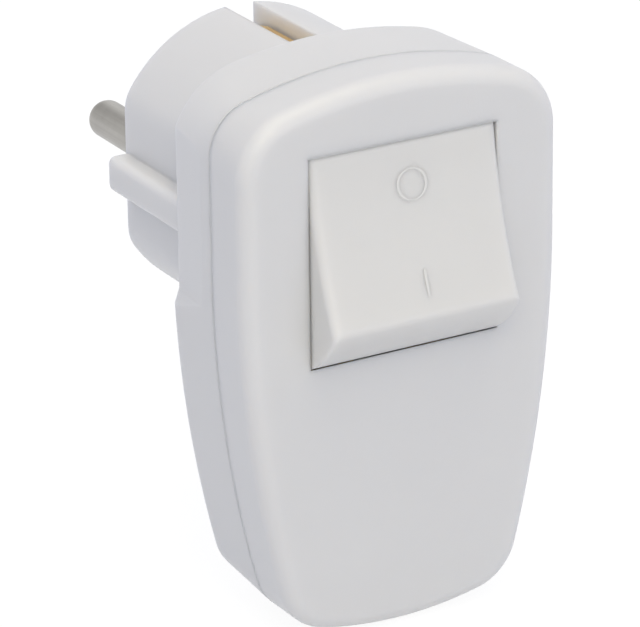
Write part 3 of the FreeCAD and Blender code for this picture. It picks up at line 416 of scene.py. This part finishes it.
def worked_metal(name, bright, dull, gloss, stretch=evenly, scale=900.0, streak=0.25):
    """Metal whose fine lines run along the axis with the lowest stretch."""
    finish, start = new_finish(name)
    place = start.node("TexCoord", {}, output="Object")
    lines_at = start.node("Mapping", {"Vector": place, "Scale": stretch})
    lines = start.node("TexNoise", {"Vector": lines_at, "Scale": scale, "Detail": 3.0})
    stains = start.node("TexNoise", {"Vector": place, "Scale": stain_scale, "Detail": 4.0})
    patch = start.node("ValToRGB", {"Fac": stains}, stops=stain_stops)
    shade = patch * (1 - streak) + lines.sharpened(line_contrast) * streak
    bump = {
        "Height": lines,
        "Strength": line_strength,
        "Distance": line_depth,
        "Normal": start.node("Bevel", {"Radius": worn_edge}, samples=worn_edge_samples),
    }
    skin = {
        "Base Color": shade.mix(bright, dull),
        "Metallic": 1.0,
        "Roughness": patch * stain_rough + lines * line_rough + (gloss - stain_rough),
        "Normal": start.node("Bump", bump),
    }
    start.node("OutputMaterial", {"Surface": start.node("BsdfPrincipled", skin)})
    return finish


spring_wire = worked_metal("spring_wire", wire_steel, wire_shade, gloss=0.30)


def wind_spring(side):
    """The spring again, as a smooth piece that rides on the rocker in place of its CAD node.
    """
    node = "plunger_spring_" + side
    dress(spring_wire, node)
    shape = bmesh.new()
    shape.from_mesh(nodes[node].data)
    bmesh.ops.remove_doubles(shape, verts=shape.verts, dist=weld_gap)
    reach = [vert.co.dot(tube_axis) for vert in shape.verts]
    seat = sum((vert.co for vert in shape.verts), Vector()) / len(shape.verts)
    seat += tube_axis * (min(reach) - seat.dot(tube_axis))
    spring = finish_piece("wound_spring_" + side, shape, spring_wire, "rocker")
    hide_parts(node)
    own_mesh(spring)


wind_spring("left")
wind_spring("right")


# The contact pins are turned from solid brass bar and nickel plated. They stay satin.
# Their dull nickel tones and strong lengthwise streaks are partly wear marks from many
# trips in and out of sockets and partly painted reflection, standing in for dim
# surroundings mirrored along the pin.
nickel_bright = (0.450, 0.436, 0.413, 1)
nickel_dull = (0.280, 0.270, 0.255, 1)
along_pin = (1, 0.02, 1)
# The strong streaks and the dark nickel tones are partly painted reflection.
pin_wear_and_painted_streaks = {"stretch": along_pin, "scale": 700.0, "streak": 0.8}
pin_nickel = worked_metal("pin_nickel", nickel_bright, nickel_dull, gloss=0.30, **pin_wear_and_painted_streaks)
dress(pin_nickel, "pin_left", "pin_right")


# A plate of the natural plastic clamps both pin collars against the plug's
# face, drawn up by one zinc-plated screw.
zinc_bright = (0.62, 0.63, 0.64, 1)
zinc_dull = (0.50, 0.51, 0.51, 1)
dress(base_plastic, "pin_carrier")
screw_zinc = worked_metal("screw_zinc", zinc_bright, zinc_dull, gloss=0.32, scale=1400.0)
dress(screw_zinc, "carrier_screw")


# The earth strip and its link are stamped from hard brass sheet. The strip's
# two ends stand in the plug body's slots and wipe the socket's earth clips.
brass_bright = (0.93, 0.71, 0.36, 1)
brass_dull = (0.80, 0.57, 0.26, 1)
along_strip = (1, 0.12, 1)
sheet_brass = worked_metal(
    "sheet_brass", brass_bright, brass_dull, gloss=0.30, stretch=along_strip)
dress(sheet_brass, "earth_strip", "earth_link")


# The switch base is moulded in the natural plastic, and posts inside the front
# cover press it home. It carries the rocker's two lugs and the barriers between
# the terminals.
dress(base_plastic, "switch_base")


# Each moving contact is a see-saw of brass strip that rocks on its bracket, with
# a silver rivet as its tip.
silver_bright = (0.80, 0.79, 0.76, 1)
silver_dull = (0.62, 0.60, 0.56, 1)
contact_silver = worked_metal("contact_silver", silver_bright, silver_dull, gloss=0.28)
dress(sheet_brass, "moving_contact_left", "moving_contact_right")
dress(contact_silver, "moving_tip_left", "moving_tip_right")


# The hinge brackets run back to the pins, and the fixed contacts run down to
# the terminals. All are bent brass strip, with silver tips where they switch.
dress(sheet_brass, "hinge_bracket_left", "hinge_bracket_right")
dress(sheet_brass, "fixed_contact_left", "fixed_contact_right")
dress(contact_silver, "fixed_tips")


# The three terminals are cut from square brass bar and cross-drilled for the
# cord's cores, each with a slotted zinc-plated screw.
sawn_brass = (0.66, 0.46, 0.21, 1)
across_bar = (0.15, 1, 1)
bar_brass = worked_metal(
    "bar_brass", sawn_brass, brass_dull, gloss=0.36, stretch=across_bar, scale=1300.0)
dress(bar_brass, "terminal_left", "terminal_right", "terminal_earth")
dress(screw_zinc, "terminal_screws")


# The cord clamp is a bar of natural plastic that two screws pull down on the
# cord's sheath, just inside the inlet.
dress(base_plastic, "cord_clamp")
dress(screw_zinc, "clamp_screws")


# Two slotted zinc-plated screws go in from the back, through the shell, and bite
# in bosses of the front cover, so that they hold the two together.
dress(screw_zinc, "housing_screws")
